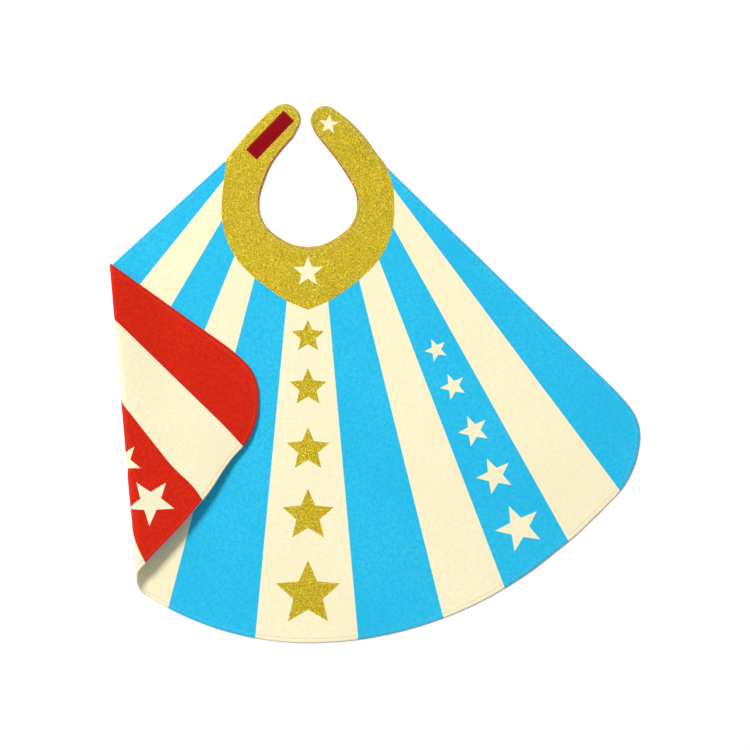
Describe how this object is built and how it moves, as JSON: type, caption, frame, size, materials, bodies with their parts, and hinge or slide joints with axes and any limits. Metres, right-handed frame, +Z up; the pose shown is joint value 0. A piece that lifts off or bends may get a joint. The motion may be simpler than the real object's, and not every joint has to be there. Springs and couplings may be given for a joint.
{
  "type": "superhero cape",
  "caption": "Child's reversible cape laid flat with one side turned over: striped cloth that flares from a glitter neck band with hook and loop tabs.",
  "frame": {"origin": "middle of the neck opening, on the surface the cape lies on", "axes": "+X to the right, +Y from the hem towards the neck tabs, +Z up off the surface"},
  "size_m": [0.6833, 0.6948, 0.0246],
  "materials": {
    "front_print": "matte brushed cotton with blue and cream printed stripes",
    "back_print": "matte brushed cotton with red and cream printed stripes",
    "gold_glitter": "gold glitter print",
    "interfacing": "non-woven",
    "thread": "polyester sewing thread",
    "hook_tape": "hook tape",
    "loop_tape": "loop tape",
    "tape_thread": "sewing thread"
  },
  "bodies": {
    "cape": {"front_cloth": "front_print", "back_cloth": "back_print", "neck_interfacing": "interfacing", "glitter_collar": "gold_glitter", "glitter_star_1": "gold_glitter", "glitter_star_2": "gold_glitter", "glitter_star_3": "gold_glitter", "glitter_star_4": "gold_glitter", "glitter_star_5": "gold_glitter", "topstitching": "thread"},
    "rolled_edge": {"roll_front_cloth": "front_print", "roll_back_cloth": "back_print", "roll_topstitching": "thread"},
    "flap": {"flap_front_cloth": "front_print", "flap_back_cloth": "back_print", "flap_topstitching": "thread"},
    "left_tab": {"left_tab_front_cloth": "front_print", "left_tab_back_cloth": "back_print", "left_tab_interfacing": "interfacing", "left_tab_glitter": "gold_glitter", "left_tab_topstitching": "thread", "hook_strip": "hook_tape", "hook_strip_stitching": "tape_thread"},
    "right_tab": {"right_tab_front_cloth": "front_print", "right_tab_back_cloth": "back_print", "right_tab_interfacing": "interfacing", "right_tab_glitter": "gold_glitter", "right_tab_topstitching": "thread", "loop_strip": "loop_tape", "loop_strip_stitching": "tape_thread"}
  },
  "joints": [
    {"name": "fold_unroll", "type": "hinge", "parent": "cape", "child": "rolled_edge", "pos_m": [-0.2535, -0.0845, 0.0017], "axis": [0.0861, -0.9963, 0], "range_deg": [0, 90]},
    {"name": "flap_unfold", "type": "hinge", "parent": "rolled_edge", "child": "flap", "pos_m": [-0.2535, -0.0845, 0.0097], "axis": [0.0861, -0.9957, 0.0337], "range_deg": [0, 94]},
    {"name": "left_tab_bend", "type": "hinge", "parent": "cape", "child": "left_tab", "pos_m": [-0.104, 0.053, 0.0017], "axis": [0.8209, -0.5711, 0], "range_deg": [0, 140]},
    {"name": "right_tab_bend", "type": "hinge", "parent": "cape", "child": "right_tab", "pos_m": [0.1005, 0.043, 0.0017], "axis": [0.8903, 0.4553, 0], "range_deg": [0, 140]}
  ],
  "couplings": [
    {"joint": "flap_unfold", "follows": "fold_unroll", "ratio": 1.0444}
  ]
}
